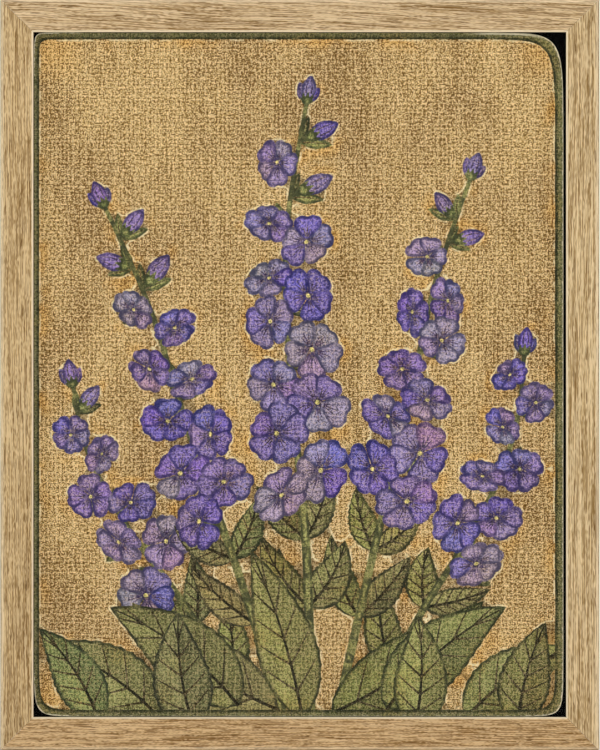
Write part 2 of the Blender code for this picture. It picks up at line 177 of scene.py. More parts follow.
def oak(name, upright, tint, slant, wander, short, seed):
    """Oak with its grain along one rail. slant is its slope, wander how far it strays, short how broken."""
    t = Tree(name)
    x, y, z = t.millimetres()
    along, across = (z, x) if upright else (x, z)
    drift = t.stretched(along, across, y, 0.011, 0.03, 0.02, seed, detail=1.0)
    ripple = t.stretched(along, across, y, 0.04 * short, 0.12, 0.1, seed + 11, detail=2.0)
    ring = t.add(across, t.times(along, slant), t.times(drift, wander), t.times(ripple, wander * 0.25))

    # Growth bands, the rows of open vessels that draw the dark lines, and fine fibres
    bands = t.stretched(along, ring, y, 0.010 * short, 0.30, 0.2, seed + 3, detail=2.0, rough=0.6)
    vessels = t.stretched(along, ring, y, 0.020 * short, 1.75, 1.2, seed + 5, detail=1.0, rough=0.5)
    fibres = t.stretched(along, ring, y, 0.075 * short, 2.8, 2.1, seed + 7, detail=0.0)
    nap = t.stretched(along, ring, y, 0.5 * short, 2.8, 2.1, seed + 15, detail=0.0)
    pores = t.stretched(along, ring, y, 0.13 * short, 1.9, 1.5, seed + 9, detail=0.0)

    dark = t.step(t.add(t.times(vessels, 1.0), t.times(bands, 0.12), t.times(fibres, 0.5)), 0.85, 0.94)
    light = t.step(t.add(t.times(vessels, 0.8), t.times(fibres, 0.8)), 0.79, 0.69)
    pore = t.times(t.step(pores, 0.60, 0.67), t.step(bands, 0.36, 0.58, 0.5, 1.0))

    colour = t.mix(t.times(dark, 0.95), OAK_MID, OAK_STREAK)
    colour = t.mix(t.times(light, 0.85), colour, OAK_LIGHT)
    colour = t.mix(t.times(pore, 0.75), colour, OAK_PORE)
    broad = t.stretched(along, across, y, 0.012, 0.05, 0.05, seed + 21, detail=1.0)
    tone = t.add(t.times(fibres, 0.62), t.times(nap, 0.28), t.times(broad, 0.15), -0.025)
    colour = t.mix(t.step(tone, 0.495, 0.40, 0.0, 0.68), colour, OAK_STREAK)
    colour = t.mix(t.step(tone, 0.485, 0.59, 0.0, 0.72), colour, OAK_LIGHT)
    colour = t.mix(1.0, colour, linear(*tint), "MULTIPLY")

    # Distance out from the sight edge: a painted highlight along both arrises, partly the paler sanded wood, and a
    # painted shade line at the very outside.
    low, high = (FRAME_LOW.x, FRAME_HIGH.x) if upright else (FRAME_LOW.z, FRAME_HIGH.z)
    off_middle = t.math("ABSOLUTE", t.add(across, -(low + high) / 2 / MM))
    width = FACE_W / MM
    out = t.add(off_middle, width - (high - low) / 2 / MM)
    inner = t.step(out, 0.35, 1.05, 1.0, 0.0)
    outer_highlight = t.times(t.step(out, width - 2.2, width - 1.0), t.step(out, width - 0.6, width - 0.2, 1.0, 0.0))
    front = t.step(y, FRAME_LOW.y / MM + 3.0, FRAME_LOW.y / MM + 1.0)
    rim = t.times(t.step(out, width - 0.5, width - 0.1), front)
    # Painted highlight along the inner and outer arrises
    colour = t.mix(t.times(inner, 0.9), colour, OAK_ARRIS_HIGHLIGHT)
    colour = t.mix(t.times(outer_highlight, 0.35), colour, OAK_ARRIS_HIGHLIGHT)
    # A painted shade line along the outside of the front face
    colour = t.mix(t.times(rim, 0.55), colour, OAK_EDGE_SHADE)

    height = t.add(t.times(fibres, 0.35), t.times(vessels, -0.5), t.times(pore, -0.9))
    return t.principled(
        Base_Color=colour, Roughness=t.step(pore, 0.0, 1.0, 0.52, 0.75),
        Normal=t.bump(height, 0.12 * MM, 0.7), Specular_IOR_Level=0.3,
    )


# The other materials

def picture_glass():
    """Clear picture glass with a low-reflection coat: it only shows at a grazing angle."""
    t = Tree("picture_glass")
    x, y, z = t.millimetres()
    smear = t.stretched(x, z, y, 0.02, 0.03, 0.0, 4.0, detail=2.0)
    clear = t.node("BsdfTransparent", {"Color": (0.976, 0.984, 0.98, 1.0)}).outputs[0]
    blur = t.step(smear, 0.4, 0.7, 0.02, 0.07)
    gloss = t.node("BsdfGlossy", {"Color": (1, 1, 1, 1), "Roughness": blur}).outputs[0]

    # What the pane mirrors: next to nothing straight on, and more with the fifth power aslant
    straight_on = 0.0032
    facing = t.node("LayerWeight", {"Blend": 0.5}).outputs["Facing"]
    mirror = t.add(t.times(t.math("POWER", facing, 5.0), 1 - straight_on), straight_on)
    return t.surface(t.node("MixShader", {0: mirror, 1: clear, 2: gloss}).outputs[0])


def board(name, colour, fleck, fleck_share, roughness, grain=1.2, specular=0.2):
    """Pulp board: fine mottling, short fibres of a second colour, and a slightly furred surface."""
    t = Tree(name)
    x, y, z = t.millimetres()
    mottle = t.stretched(x, z, y, 0.15, 0.15, 0.5, detail=3.0)
    fibre_a = t.stretched(x, z, y, grain, grain * 0.18, grain, 5.0, detail=1.0)
    fibre_b = t.stretched(x, z, y, grain * 0.18, grain, grain, 9.0, detail=1.0)
    fibres = t.step(t.math("MAXIMUM", fibre_a, fibre_b), 0.58, 0.72)
    tone = t.grey(t.step(mottle, 0.3, 0.7, 0.9, 1.1))
    shade = t.mix(1.0, t.mix(t.times(fibres, fleck_share), linear(*colour), linear(*fleck)), tone, "MULTIPLY")
    height = t.add(fibres, t.times(mottle, 0.5))
    return t.principled(
        Base_Color=shade, Roughness=t.step(fibres, 0.0, 1.0, roughness, roughness - 0.12),
        Normal=t.bump(height, 0.06 * MM, 0.6), Specular_IOR_Level=specular,
    )


PRESS_PITCH = 1.4


def hardboard():
    """Pressed hardboard seen from behind: brown fibres and the fine mesh mark of the press."""
    t = Tree("fibreboard")
    x, y, z = t.millimetres()
    across = t.math("SINE", t.times(x, 2 * math.pi / PRESS_PITCH))
    up = t.math("SINE", t.times(z, 2 * math.pi / PRESS_PITCH))
    mesh = t.times(t.add(across, 1.0), t.add(up, 1.0))
    clumps = t.stretched(x, z, y, 0.22, 0.22, 0.3, detail=4.0, rough=0.7)
    flecks = t.step(t.stretched(x, z, y, 0.55, 0.55, 0.5, 17.0, detail=1.0), 0.62, 0.72)
    fibre_a = t.stretched(x, z, y, 0.9, 0.16, 0.9, 3.0, detail=2.0)
    fibre_b = t.stretched(x, z, y, 0.2, 1.1, 0.9, 8.0, detail=2.0)
    fibres = t.step(t.math("MAXIMUM", fibre_a, fibre_b), 0.5, 0.72)
    colour = t.mix(t.step(clumps, 0.3, 0.7), linear(130, 91, 55), linear(154, 112, 71))
    colour = t.mix(t.times(flecks, 0.35), colour, linear(186, 146, 100))
    colour = t.mix(t.times(fibres, 0.4), colour, linear(92, 60, 34))
    colour = t.mix(t.step(mesh, 0.0, 4.0, 0.16, 0.0), colour, linear(70, 46, 28))
    height = t.add(t.times(mesh, 0.25), t.times(fibres, 0.3))
    return t.principled(
        Base_Color=colour, Roughness=t.step(clumps, 0.3, 0.7, 0.55, 0.72),
        Normal=t.bump(height, 0.12 * MM, 0.6), Specular_IOR_Level=0.3,
    )


def plastic(name):
    t = Tree(name)
    x, y, z = t.millimetres()
    pebble = t.stretched(x, z, y, 1.6, 1.6, 1.6, detail=2.0)
    colour = t.mix(t.step(pebble, 0.35, 0.65), linear(12, 12, 13), linear(22, 22, 24))
    return t.principled(
        Base_Color=colour, Roughness=t.step(pebble, 0.3, 0.7, 0.5, 0.65),
        Normal=t.bump(pebble, 0.03 * MM, 0.5),
    )


def steel(name, colour, tarnish, roughness, brush):
    """Plated or rolled steel: fine brushed lines, faint cloudy tarnish and a few scuffs."""
    t = Tree(name)
    x, y, z = t.millimetres()
    cloud = t.stretched(x, z, y, 0.35, 0.35, 0.35, 2.0, detail=3.0)
    lines = t.stretched(x, z, y, 0.25, brush, brush, 6.0, detail=2.0)
    scuff = t.step(t.stretched(x, z, y, 0.8, 3.2, 2.0, 13.0, detail=1.0), 0.66, 0.74)
    shade = t.mix(t.step(cloud, 0.35, 0.7), linear(*colour), linear(*tarnish))
    shade = t.mix(t.times(scuff, 0.35), shade, linear(110, 106, 98))
    rough = t.add(t.step(lines, 0.3, 0.7, roughness - 0.06, roughness + 0.08), t.times(scuff, 0.15))
    return t.principled(
        Base_Color=shade, Metallic=1.0, Roughness=rough, Normal=t.bump(lines, 0.02 * MM, 0.4),
    )


def soft_bumper():
    t = Tree("soft_bumper")
    x, y, z = t.millimetres()
    haze = t.stretched(x, z, y, 0.8, 0.8, 0.8, detail=2.0)
    colour = t.mix(t.step(haze, 0.35, 0.65), linear(196, 199, 194), linear(214, 217, 213))
    return t.principled(
        Base_Color=colour, Roughness=t.step(haze, 0.3, 0.7, 0.24, 0.34), IOR=1.45, Transmission_Weight=0.35,
    )


# The print: shapes, in millimetres from its middle

PETAL_INKS = ((116, 100, 176), (127, 110, 172), (142, 122, 172), (104, 91, 180), (152, 134, 168))
BUD_INKS = ((112, 96, 176), (130, 112, 170))
LEAF_INKS = ((102, 106, 62), (92, 98, 57), (114, 115, 68), (104, 108, 62))
LIGHT_LEAF_INK = (138, 143, 82)
STEM_INK = (146, 146, 86)
CALYX_INK = (130, 137, 80)
SEAM_INK = (44, 46, 29)
STREAK_INK = (62, 54, 116)
EYE_INK = (206, 190, 118)
THROAT_INK = (52, 44, 90)
BORDER_INK = (80, 90, 52)
BORDER_COVER = 0.82
BORDER_LINE = 0.95
PITCH = 1.0
ROUGH_EDGE = 0.22
BORDER_WIDTHS = {"left": 2.7, "right": 4.2, "top": 3.5, "bottom": 3.4}
GRID_PITCH = 3.0
GROUND = -1
BORDER = -2
FAR = 9.0
SHEET_HALF_W = (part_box("picture_sheet")[1].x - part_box("picture_sheet")[0].x) / 2 / MM
SHEET_HALF_H = (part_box("picture_sheet")[1].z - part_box("picture_sheet")[0].z) / 2 / MM

HALOED = 1.0
STROKE_DARK = 0.9

shapes = []


def lay(points, ink, cover=0.93, line=HALOED):
    """Adds a printed shape on top of those before it. line is how strong its dark outline is."""
    shapes.append({"outline": np.array(points, float), "ink": linear(*ink), "cover": cover, "line": line})


def through(points, closed, pitch=PITCH):
    """Points at an even pitch along a smooth curve through the given ones."""
    count = len(points)
    at = (lambda i: points[i % count]) if closed else (lambda i: points[min(max(i, 0), count - 1)])
    fine = []
    for i in range(count if closed else count - 1):
        p0, p1, p2, p3 = (np.array(at(i + k), float) for k in (-1, 0, 1, 2))
        for s in np.linspace(0, 1, 12, endpoint=False):
            fine.append(0.5 * (2 * p1 + (p2 - p0) * s + (2 * p0 - 5 * p1 + 4 * p2 - p3) * s ** 2
                               + (3 * p1 - p0 - 3 * p2 + p3) * s ** 3))
    fine.append(np.array(at(0 if closed else count - 1), float))
    fine = np.array(fine)
    gaps = np.hypot(*np.diff(fine, axis=0).T)
    far = np.concatenate([[0], np.cumsum(gaps)])
    steps = max(3, round(far[-1] / pitch))
    where = np.linspace(0, far[-1], steps + 1)
    even = np.column_stack([np.interp(where, far, fine[:, k]) for k in (0, 1)])
    return even[:-1] if closed else even


def ragged(points, amount=ROUGH_EDGE):
    """The same outline with the slight unevenness of a hand-cut block."""
    def shift(x, y, layer):
        return amount * noise.noise(Vector((x, y, layer)) * 0.9)
    return [(x + shift(x, y, 3.1), y + shift(x, y, 7.7)) for x, y in points]


def turned(points, angle, scale=1.0, at=(0, 0)):
    cos, sin = math.cos(angle), math.sin(angle)
    return [(at[0] + scale * (x * cos - y * sin), at[1] + scale * (x * sin + y * cos)) for x, y in points]


def ribbon(line, widths):
    """The outline of a stroke along a line, with a width at each of its points."""
    line = np.array(line, float)
    ahead = np.gradient(line, axis=0)
    side = np.column_stack([-ahead[:, 1], ahead[:, 0]]) / np.maximum(np.hypot(*ahead.T), 1e-6)[:, None]
    half = (np.array(widths, float) / 2)[:, None]
    return np.vstack([line + side * half, (line - side * half)[::-1]])


def stroke(line, start, end, ink, cover=0.9, dark=STROKE_DARK):
    widths = np.linspace(start, end, len(line))
    lay(ragged(ribbon(line, widths), 0.12), ink, cover, dark)


PETAL = ((0.04, 0.0), (0.20, 0.15), (0.42, 0.36), (0.66, 0.50), (0.88, 0.44), (1.0, 0.22), (0.95, 0.03),
         (1.01, -0.18), (0.90, -0.43), (0.68, -0.50), (0.42, -0.35), (0.20, -0.14))
PETAL_ORDER = (0, 2, 4, 1, 3)


def blossom(x, y, radius, facing, squeeze, rng):
    """A flat round flower of five petals. squeeze narrows it along facing, as when it is seen aslant."""
    start = rng.uniform(0, 2 * math.pi)
    tone = rng.choice(PETAL_INKS)

    def aslant(points):
        flat = turned(points, -facing)
        return turned([(px * squeeze, py) for px, py in flat], facing, 1.0, (x, y))

    placed = []
    for k in PETAL_ORDER:
        angle = start + 2 * math.pi * k / 5 + rng.uniform(-0.12, 0.12)
        size = radius * rng.uniform(0.90, 1.08)
        base = tone if rng.random() < 0.7 else rng.choice(PETAL_INKS)
        ink = [channel + rng.uniform(-9, 9) for channel in base]
        placed.append((angle, size, ink))
    for angle, size, ink in placed:
        outline = through(aslant(turned(PETAL, angle, size)), True)
        lay(ragged(outline), ink, rng.uniform(0.84, 0.95))
        for spread in (-0.22, 0.0, 0.22):
            reach = (0.66 if spread == 0 else 0.54) * size
            radii = np.linspace(0.2 * size, reach, 4)
            line = [turned([(r, 0)], angle + spread * (0.6 + r / size))[0] for r in radii]
            stroke(aslant(line), 0.95, 0.4, STREAK_INK, 0.8, 0.55)
    star = [(radius * (0.21 if i % 2 else 0.13) * math.cos(start + math.pi * i / 5),
             radius * (0.21 if i % 2 else 0.13) * math.sin(start + math.pi * i / 5)) for i in range(10)]
    lay(ragged(through(aslant(star), True, 0.7), 0.12), THROAT_INK, 0.9, 0.0)
    round_eye = np.linspace(0, 2 * math.pi, 7, endpoint=False)
    eye = [(radius * 0.08 * math.cos(a), radius * 0.08 * math.sin(a)) for a in round_eye]
    lay(ragged(through(aslant(eye), True, 0.6), 0.1), EYE_INK, 0.95, 0.0)


BUD = ((0.0, 0.0), (0.15, 0.17), (0.42, 0.27), (0.70, 0.22), (0.93, 0.08), (1.0, 0.0), (0.93, -0.09),
       (0.70, -0.23), (0.42, -0.26), (0.15, -0.16))
CALYX = ((-0.10, 0.0), (0.0, 0.15), (0.14, 0.21), (0.40, 0.20), (0.24, 0.09), (0.46, 0.0), (0.24, -0.09),
         (0.40, -0.20), (0.14, -0.21), (0.0, -0.15))
BRACT = ((0.0, 0.0), (0.18, 0.10), (0.45, 0.18), (0.75, 0.13), (1.0, 0.0), (0.75, -0.12), (0.45, -0.17),
         (0.18, -0.10))


def bud(x, y, length, angle, rng):
    ink = [channel + rng.uniform(-8, 8) for channel in rng.choice(BUD_INKS)]
    lay(ragged(through(turned(BUD, angle, length, (x, y)), True)), ink)
    for side in (-0.10, 0.08):
        line = turned([(0.35, side), (0.6, side * 1.1), (0.85, side * 0.4)], angle, length, (x, y))
        stroke(through(line, False), 0.9, 0.4, STREAK_INK, 0.8, 0.55)
    lay(ragged(through(turned(CALYX, angle, length * 0.9, (x, y)), True)), CALYX_INK)


def bract(x, y, length, angle, rng):
    """A small plain leaf at the foot of a flower stalk."""
    ink = LIGHT_LEAF_INK if rng.random() < 0.6 else rng.choice(LEAF_INKS)
    lay(ragged(through(turned(BRACT, angle, length, (x, y)), True)), ink, 0.9)
    rib = turned([(0.1, 0.0), (0.5, 0.02), (0.85, 0.0)], angle, length, (x, y))
    stroke(through(rib, False), 0.8, 0.4, SEAM_INK, 0.7, 0.6)


def leaf(x, y, length, width, angle, bend, rng, teeth=0.7):
    """A broad pointed leaf: a toothed outline round a bent midrib, one half lighter, with dark side veins."""
    steps = 26
    spine = []
    heading, px, py = angle, x, y
    for _ in range(steps + 1):
        spine.append((px, py))
        px += length / steps * math.cos(heading)
        py += length / steps * math.sin(heading)
        heading += bend / steps
    spine = np.array(spine)
    ahead = np.gradient(spine, axis=0)
    side = np.column_stack([-ahead[:, 1], ahead[:, 0]]) / np.hypot(*ahead.T)[:, None]
    share = np.linspace(0, 1, steps + 1)
    half = width / 2 * np.sin(math.pi * share ** 0.78) ** 0.85 * (1 - 0.25 * share)
    edges = []
    for sign, fullness in ((1, rng.uniform(0.9, 1.1)), (-1, rng.uniform(0.9, 1.1))):
        tooth = np.where(np.arange(steps + 1) % 2 == 0, 0.0, teeth) * np.sin(math.pi * share)
        edges.append(spine + side * (sign * (half * fullness + tooth))[:, None])
    ink = [channel + rng.uniform(-6, 6) for channel in rng.choice(LEAF_INKS)]
    outline = np.vstack([edges[0], edges[1][::-1][1:-1]])
    lay(ragged(outline), ink, rng.uniform(0.86, 0.94))
    pale = [channel * 1.2 for channel in ink]
    inner = np.vstack([spine[1:-2], (spine + (edges[0] - spine) * 0.82)[1:-2][::-1]])
    lay(ragged(inner), pale, 0.85, 0.0)
    stroke(spine[:-1], 1.7, 0.7, SEAM_INK, 0.9)
    for at in range(4, steps - 4, 4):
        for edge in edges:
            tip = min(at + 4, steps)
            middle = spine[at] * 0.45 + edge[tip] * 0.55 + ahead[at] * 0.3
            line = [spine[at], middle, spine[tip] * 0.15 + edge[tip] * 0.85]
            stroke(through(line, False), 1.2, 0.6, SEAM_INK, 0.85, rng.uniform(0.5, 0.9))


def spray(points, start_width, first, count, radius, pairs, rng):
    """One stem: pairs of leaves, then count blossoms from the share first on, ever smaller, then buds."""
    line = through(points, False, 2.0)
    ahead = np.gradient(line, axis=0)

    def at(share):
        place = min(int(share * (len(line) - 1)), len(line) - 1)
        return line[place], math.atan2(ahead[place][1], ahead[place][0])

    for share, length, width in pairs:
        foot, heading = at(share)
        for sign in (1, -1):
            leaf(foot[0], foot[1], length * rng.uniform(0.9, 1.1), width * rng.uniform(0.9, 1.1),
                 heading + sign * rng.uniform(0.65, 0.95), -sign * rng.uniform(0.3, 0.7), rng)

    heads = []
    sign = rng.choice((1, -1))
    for number in range(count):
        grown = number / (count - 1)
        foot, heading = at(first + (0.93 - first) * grown + rng.uniform(-0.008, 0.008))
        size = radius * (1 - 0.34 * grown) * rng.uniform(0.92, 1.08)
        heading += sign * rng.uniform(0.8, 1.15)
        head = foot + size * rng.uniform(0.72, 0.98) * np.array([math.cos(heading), math.sin(heading)])
        bract(foot[0], foot[1], size * rng.uniform(1.0, 1.4), heading - sign * 0.75, rng)
        bract(foot[0], foot[1], size * rng.uniform(1.1, 1.5), heading + sign * 0.55, rng)
        stalk = through([foot, (foot + head) / 2 + np.array([0, 1]), head], False)
        stroke(stalk, 2.2, 1.6, STEM_INK, 0.92, HALOED)
        heads.append((head, size, heading, grown > 0.75 and rng.random() < 0.5))
        sign = -sign
    lay(ragged(ribbon(line, np.linspace(start_width, 2.0, len(line)))), STEM_INK, 0.92)
    foot, heading = at(1.0)
    for turn, size in ((0.5, 11), (-0.55, 10), (0.0, 14)):
        bud(foot[0], foot[1], size, heading + turn, rng)
    for head, size, heading, closed in heads[::-1]:
        if closed:
            foot = head - 0.5 * size * np.array([math.cos(heading), math.sin(heading)])
            bud(foot[0], foot[1], size * 1.5, heading, rng)
        else:
            blossom(head[0], head[1], size, rng.uniform(0, math.pi), rng.uniform(0.68, 1.0), rng)


# Each spray: points of its stem, width, where its flowers start, how many, their radius, and pairs of leaves
SPRAYS = (
    (((34, -176), (60, -122), (90, -74), (108, -30), (113, 10)),
     4.4, 0.44, 8, 14.5, ((0.16, 42, 20), (0.33, 32, 16))),
    (((-20, -176), (-54, -120), (-86, -76), (-106, -38), (-113, -6)),
     4.4, 0.42, 8, 14.5, ((0.15, 42, 20), (0.31, 34, 17))),
    (((18, -176), (36, -96), (54, -22), (68, 44), (86, 98)),
     4.8, 0.38, 12, 15.5, ((0.20, 40, 19), (0.32, 32, 16))),
    (((-6, -176), (-30, -100), (-54, -32), (-74, 32), (-97, 84)),
     4.8, 0.38, 12, 15.5, ((0.20, 40, 19), (0.32, 32, 16))),
    (((6, -178), (4, -90), (-4, 0), (-6, 70), (4, 136)),
     5.4, 0.36, 14, 16.5, ((0.20, 42, 20), (0.31, 34, 17))),
)
# Each low leaf: foot, length, width, heading and bend
LOW_LEAVES = (
    (-10, -168, 92, 40, 2.75, -0.5), (16, -170, 96, 42, 0.42, 0.45), (-30, -166, 82, 36, 2.25, 0.5),
    (44, -168, 80, 36, 0.95, -0.5), (-70, -172, 70, 32, 2.3, 0.6), (84, -172, 66, 32, 0.85, -0.6),
    (2, -172, 88, 36, 1.75, 0.25), (-100, -174, 56, 28, 1.9, 0.5), (110, -176, 54, 28, 1.5, -0.4),
    (-52, -178, 60, 30, 1.9, -0.4), (58, -178, 58, 30, 1.35, 0.4),
)
DRAWING_SEED = 20


def draw():
    """A fan of five arching sprays over broad leaves."""
    rng = random.Random(DRAWING_SEED)
    for points, start_width, first, count, radius, pairs in SPRAYS:
        spray(points, start_width, first, count, radius, pairs, rng)
    for x, y, length, width, angle, bend in LOW_LEAVES:
        leaf(x, y, length, width, angle, bend, rng)


# The print: one printed skin over the sheet

def inside(points, outline):
    """For each point, whether it lies in the outline."""
    boxed = ((points > outline.min(axis=0)) & (points < outline.max(axis=0))).all(axis=1)
    found = np.zeros(len(points), bool)
    if boxed.any():
        found[boxed] = crossed(points[boxed], outline)
    return found


def crossed(points, outline):
    """For each point, whether a ray from it crosses the outline an odd number of times."""
    found = np.zeros(len(points), bool)
    x, y = points[:, 0], points[:, 1]
    ax, ay = outline[:, 0], outline[:, 1]
    bx, by = np.roll(ax, -1), np.roll(ay, -1)
    for x0, y0, x1, y1 in zip(ax, ay, bx, by):
        if y0 == y1:
            continue
        crosses = (y0 > y) != (y1 > y)
        found ^= crosses & (x < (x1 - x0) * (y - y0) / (y1 - y0) + x0)
    return found


def nearest(points, others):
    """For each point, the index of the nearest of the others."""
    tree = kdtree.KDTree(len(others))
    for i, (x, y) in enumerate(others):
        tree.insert((x, y, 0), i)
    tree.balance()
    return np.array([tree.find((x, y, 0))[1] for x, y in points])


def distance(points, outline):
    """The distance from each point to the nearest side of the outline, whose points are close together."""
    at = nearest(points, outline)
    gaps = []
    for first in (at - 1, at):
        a, b = outline[first], outline[(first + 1) % len(outline)]
        side = b - a
        share = ((points - a) * side).sum(axis=1) / np.maximum((side ** 2).sum(axis=1), 1e-9)
        gaps.append(np.hypot(*(points - a - np.clip(share, 0, 1)[:, None] * side).T))
    return np.minimum(*gaps)


def sheet_outline():
    """The sheet's outline in millimetres from its middle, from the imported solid's front face."""
    low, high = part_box("picture_sheet")
    places = [vertex.co for vertex in NODES["picture_sheet"].data.vertices]
    front = {(round(p.x / MM, 4), round(p.z / MM, 4)) for p in places if p.y < low.y + 1e-5}
    middle = ((low.x + high.x) / 2 / MM, (low.z + high.z) / 2 / MM)
    points = [(x - middle[0], z - middle[1]) for x, z in front]
    points.sort(key=lambda p: math.atan2(p[1], p[0]))
    outline = []
    for (x0, y0), (x1, y1) in zip(points, points[1:] + points[:1]):
        steps = max(1, round(math.hypot(x1 - x0, y1 - y0) / PITCH))
        outline += [(x0 + (x1 - x0) * i / steps, y0 + (y1 - y0) * i / steps) for i in range(steps)]
    return np.array(outline), Vector((middle[0] * MM, 0, middle[1] * MM))


def drawn_in(outline, amounts):
    """The outline moved inwards by an amount at each point."""
    ahead = np.roll(outline, -1, axis=0) - np.roll(outline, 1, axis=0)
    inwards = np.column_stack([-ahead[:, 1], ahead[:, 0]]) / np.hypot(*ahead.T)[:, None]
    return outline + inwards * np.reshape(amounts, (-1, 1))


def wavering(outline, scale, seed):
    """A smooth value from 0 to 1 along an outline."""
    return np.array([0.5 + 0.5 * noise.noise(Vector((x * scale, y * scale, seed))) for x, y in outline])


CORNER_REACH = 22
ARRIS_WIDTH = 0.16
ARRIS_DEPTH = 0.12
HALO_REACH = 4
POINT_SEED = 4
UV_MARGIN = 0.01
SHEET_BACK = linear(214, 200, 160)


def make_print():
    outline, middle = sheet_outline()
    low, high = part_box("picture_sheet")
    half_w, half_h = SHEET_HALF_W, SHEET_HALF_H

    # The sheet's cut edge wavers inside the board's, and its front arris is a little rounded.
    off_x, off_y = np.abs(outline[:, 0]) - half_w, np.abs(outline[:, 1]) - half_h
    cornered = np.clip((np.minimum(off_x, off_y) + CORNER_REACH) / CORNER_REACH, 0, 1)
    right = np.clip((outline[:, 0] - half_w + 8) / 4, 0, 1)
    open_side = np.maximum(cornered, right)
    inset = 0.02 + 0.26 * open_side * wavering(outline, 0.12, 1.0)
    rim = drawn_in(outline, inset)
    face = drawn_in(rim, np.full(len(rim), ARRIS_WIDTH))

    # The border's inner edge
    inner = []
    for x, y in outline:
        wide = BORDER_WIDTHS["right" if x > 0 else "left"] / half_w
        tall = BORDER_WIDTHS["top" if y > 0 else "bottom"] / half_h
        inner.append((x * (1 - wide), y * (1 - tall)))
    inner = np.array(inner)
    sway = 0.45 * (wavering(inner, 0.09, 5.0) - 0.5) + 0.35 * (wavering(inner, 0.5, 8.0) - 0.5)
    inner = drawn_in(inner, sway)

    draw()
    points, edges = [], []

    def constrain(loop):
        first = len(points)
        points.extend(Vector(p) for p in loop)
        edges.extend((first + i, first + (i + 1) % len(loop)) for i in range(len(loop)))

    constrain(face)
    constrain(inner)
    for shape in shapes:
        constrain(shape["outline"])
    lines = np.array([tuple(p) for p in points])
    rng = random.Random(POINT_SEED)
    cells = {(int(x // GRID_PITCH), int(y // GRID_PITCH)) for x, y in lines}
    for i in range(int(-half_w // GRID_PITCH), int(half_w // GRID_PITCH) + 1):
        for j in range(int(-half_h // GRID_PITCH), int(half_h // GRID_PITCH) + 1):
            if (i, j) not in cells:
                place = [(k + rng.uniform(0.3, 0.7)) * GRID_PITCH for k in (i, j)]
                points.append(Vector(place))
    flat, _, faces = delaunay_2d_cdt(points, edges, [], 0, 1e-4, False)[:3]
    flat = np.array([tuple(p) for p in flat])
    faces = np.array([f for f in faces if len(f) == 3])
    centres = flat[faces].mean(axis=1)
    keep = inside(centres, face)
    faces, centres = faces[keep], centres[keep]

    # Which shape each face belongs to: the topmost one, with the border over all of them
    owner = np.full(len(faces), GROUND)
    for number, shape in enumerate(shapes):
        owner[inside(centres, shape["outline"])] = number
    owner[~inside(centres, inner)] = BORDER

    # What the ink of each face's corners is, and how far each corner is from the nearest outline
    ink = np.zeros((len(faces), 3, 4))
    edge = np.full((len(faces), 3), FAR)
    line = np.ones((len(faces), 3))
    beside = np.full(len(flat), FAR)

    def measure(chosen, outline):
        used = np.unique(chosen)
        beside[used] = distance(flat[used], outline)
        return beside[chosen]

    for number, shape in enumerate(shapes):
        mine = owner == number
        if mine.any():
            ink[mine] = (*shape["ink"][:3], shape["cover"])
            line[mine] = shape["line"]
            edge[mine] = -measure(faces[mine], shape["outline"])
    mine = owner == BORDER
    ink[mine] = (*linear(*BORDER_INK)[:3], BORDER_COVER)
    line[mine] = BORDER_LINE
    edge[mine] = -measure(faces[mine], inner)

    bare = owner == GROUND
    ground_points = np.unique(faces[bare])
    near_shape = np.full(len(flat), FAR)
    near_shape[ground_points] = np.minimum(FAR, distance(flat[ground_points], inner))
    for shape in shapes:
        if shape["line"] >= HALOED:
            lowest = shape["outline"].min(axis=0) - HALO_REACH
            highest = shape["outline"].max(axis=0) + HALO_REACH
            some = flat[ground_points]
            some = ground_points[((some > lowest) & (some < highest)).all(axis=1)]
            if len(some):
                near_shape[some] = np.minimum(near_shape[some], distance(flat[some], shape["outline"]))
    edge[bare] = near_shape[faces[bare]]
    rim_gap = distance(flat, face)[faces]

    # The mesh: the printed face, the rounded arris, the cut edge and the back
    y_front, y_arris, y_back = low.y, low.y + ARRIS_DEPTH * MM, high.y
    verts = [(middle.x + x * MM, y_front, middle.z + z * MM) for x, z in flat]
    polygons = [tuple(f) for f in faces]
    face_order = [int(i) for i in nearest(face, flat)]
    first_rim = len(verts)
    verts += [(middle.x + x * MM, y_arris, middle.z + z * MM) for x, z in rim]
    first_back = len(verts)
    verts += [(middle.x + x * MM, y_back, middle.z + z * MM) for x, z in rim]
    count = len(rim)
    for i in range(count):
        j = (i + 1) % count
        polygons.append((face_order[i], face_order[j], first_rim + j, first_rim + i))
        polygons.append((first_rim + i, first_rim + j, first_back + j, first_back + i))
    loop = [(i, (i + 1) % count) for i in range(count)]
    back = delaunay_2d_cdt([Vector(p) for p in rim], loop, [], 1, 1e-5, False)
    back_points, back_faces = back[0], back[2]
    back_index = [first_back + int(i) for i in nearest([tuple(p) for p in back_points], rim)]
    polygons += [tuple(back_index[i] for i in reversed(f)) for f in back_faces]

    mesh = bpy.data.meshes.new("print_sheet")
    mesh.from_pydata(verts, [], polygons)
    mesh.validate()
    piece = bpy.data.objects.new("print_sheet", mesh)
    bpy.context.scene.collection.objects.link(piece)

